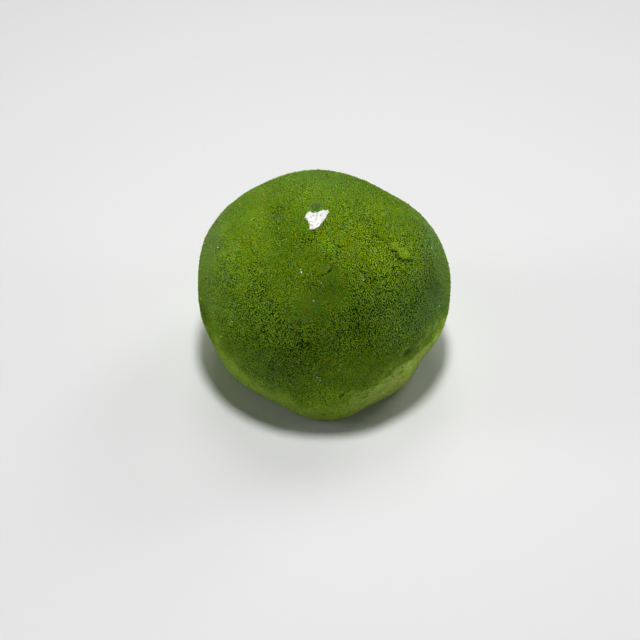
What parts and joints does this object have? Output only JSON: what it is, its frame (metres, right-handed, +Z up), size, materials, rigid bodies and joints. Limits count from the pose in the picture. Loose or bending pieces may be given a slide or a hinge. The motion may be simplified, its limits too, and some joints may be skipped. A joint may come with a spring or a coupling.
{
  "type": "mochi rice cake",
  "caption": "Round soft rice cake, sagged on to a flat lobed sole, dusted with green tea powder and finished with a small flake of silver leaf near its top.",
  "frame": {"origin": "centre of the flat sole, on the surface the cake stands on", "axes": "+Z up through the top of the cake; -Y is the front, the side turned to the viewer; +X to the viewer's right"},
  "size_m": [0.0565, 0.0556, 0.0422],
  "materials": {
    "matcha_powder": "dry green tea powder, fully matt and grainy",
    "rice_dough": "pale green rice dough showing through a thin dusting, soft sheen",
    "silver_leaf": "thin crinkled metal leaf, soft shine"
  },
  "bodies": {
    "root": {"rice_cake": "matcha_powder"}
  },
  "joints": []
}
